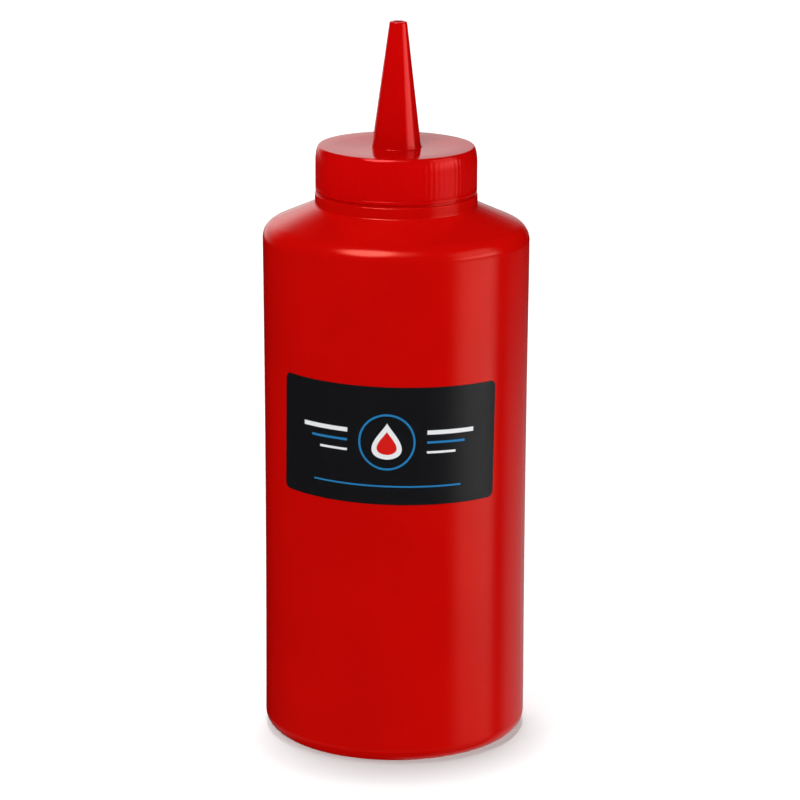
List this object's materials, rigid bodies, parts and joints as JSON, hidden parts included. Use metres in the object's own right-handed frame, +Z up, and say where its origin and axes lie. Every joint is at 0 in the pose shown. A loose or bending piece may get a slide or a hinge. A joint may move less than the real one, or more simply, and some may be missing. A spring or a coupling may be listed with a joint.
{
  "type": "condiment squeeze bottle",
  "caption": "Round opaque squeeze bottle with a sloped shoulder, a ribbed cap drawn up into a conical pouring nozzle, and a dark curved label on its front.",
  "frame": {"origin": "centre of the flat base, on the surface that the bottle stands on", "axes": "+Z up along the bottle's axis to the nozzle's tip, -Y out of the middle of the label, +X to the label's right as it is read"},
  "size_m": [0.0804, 0.0804, 0.2186],
  "materials": {
    "bottle_plastic": "satin red polyethylene",
    "cap_plastic": "glossy red moulded plastic",
    "label_film": "satin black film"
  },
  "bodies": {
    "root": {"bottle": "bottle_plastic", "cap": "cap_plastic", "label": "label_film"}
  },
  "joints": []
}
